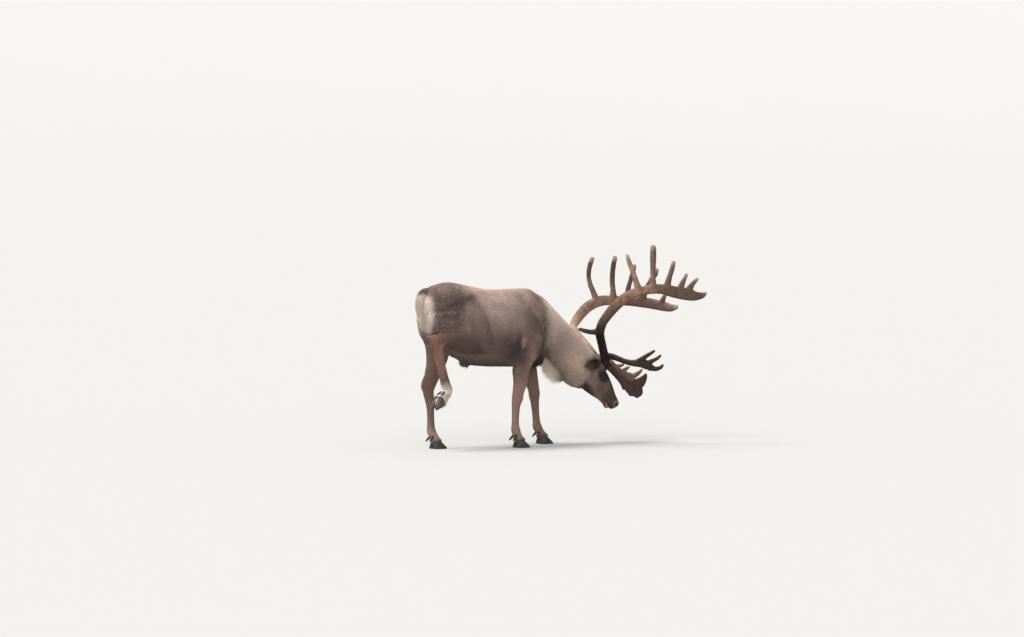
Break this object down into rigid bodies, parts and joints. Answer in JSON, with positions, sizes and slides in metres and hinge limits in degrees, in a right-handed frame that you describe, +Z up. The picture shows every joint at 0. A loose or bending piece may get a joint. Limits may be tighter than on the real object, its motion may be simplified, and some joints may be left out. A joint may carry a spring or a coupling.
{
  "type": "reindeer",
  "caption": "Life-size bull reindeer in summer coat, grazing with lowered head, one hind leg lifted, and broad antlers in velvet.",
  "frame": {"origin": "middle of the whole animal with its antlers, at the floor under its hooves", "axes": "+X the way the body faces, +Y its left side, +Z up"},
  "size_m": [2.4272, 1.0958, 1.5507],
  "materials": {
    "coat_dark": "short summer coat",
    "coat_face": "short dark coat",
    "coat_grey": "short neck coat with a long throat mane",
    "coat_leg": "short sleek coat",
    "eye": "wet and glossy",
    "hoof": "worn horn",
    "rump_white": "long pale hair",
    "velvet": "soft velvet"
  },
  "bodies": {
    "root": {"antler_left_beam": "velvet", "antler_left_bez": "velvet", "antler_left_brow": "velvet", "antler_left_burr": "velvet", "antler_left_palm": "velvet", "antler_left_rear_tine": "velvet", "antler_right_beam": "velvet", "antler_right_bez": "velvet", "antler_right_brow": "velvet", "antler_right_burr": "velvet", "antler_right_palm": "velvet", "antler_right_rear_tine": "velvet", "ear_left": "coat_face", "ear_right": "coat_face", "eye_left": "eye", "eye_right": "eye", "foreleg_left_cannon": "coat_leg", "foreleg_left_claw_left": "hoof", "foreleg_left_claw_right": "hoof", "foreleg_left_dewclaw_left": "hoof", "foreleg_left_dewclaw_right": "hoof", "foreleg_left_foot": "coat_leg", "foreleg_left_upper": "coat_leg", "foreleg_right_cannon": "coat_leg", "foreleg_right_claw_left": "hoof", "foreleg_right_claw_right": "hoof", "foreleg_right_dewclaw_left": "hoof", "foreleg_right_dewclaw_right": "hoof", "foreleg_right_foot": "coat_leg", "foreleg_right_upper": "coat_leg", "head": "coat_face", "hindleg_left_cannon": "coat_leg", "hindleg_left_claw_left": "hoof", "hindleg_left_claw_right": "hoof", "hindleg_left_dewclaw_left": "hoof", "hindleg_left_dewclaw_right": "hoof", "hindleg_left_foot": "coat_leg", "hindleg_left_upper": "coat_leg", "hindleg_right_cannon": "coat_leg", "hindleg_right_claw_left": "hoof", "hindleg_right_claw_right": "hoof", "hindleg_right_dewclaw_left": "hoof", "hindleg_right_dewclaw_right": "hoof", "hindleg_right_foot": "coat_leg", "hindleg_right_upper": "coat_leg", "neck": "coat_grey", "tail": "rump_white", "torso": "coat_dark"}
  },
  "joints": []
}
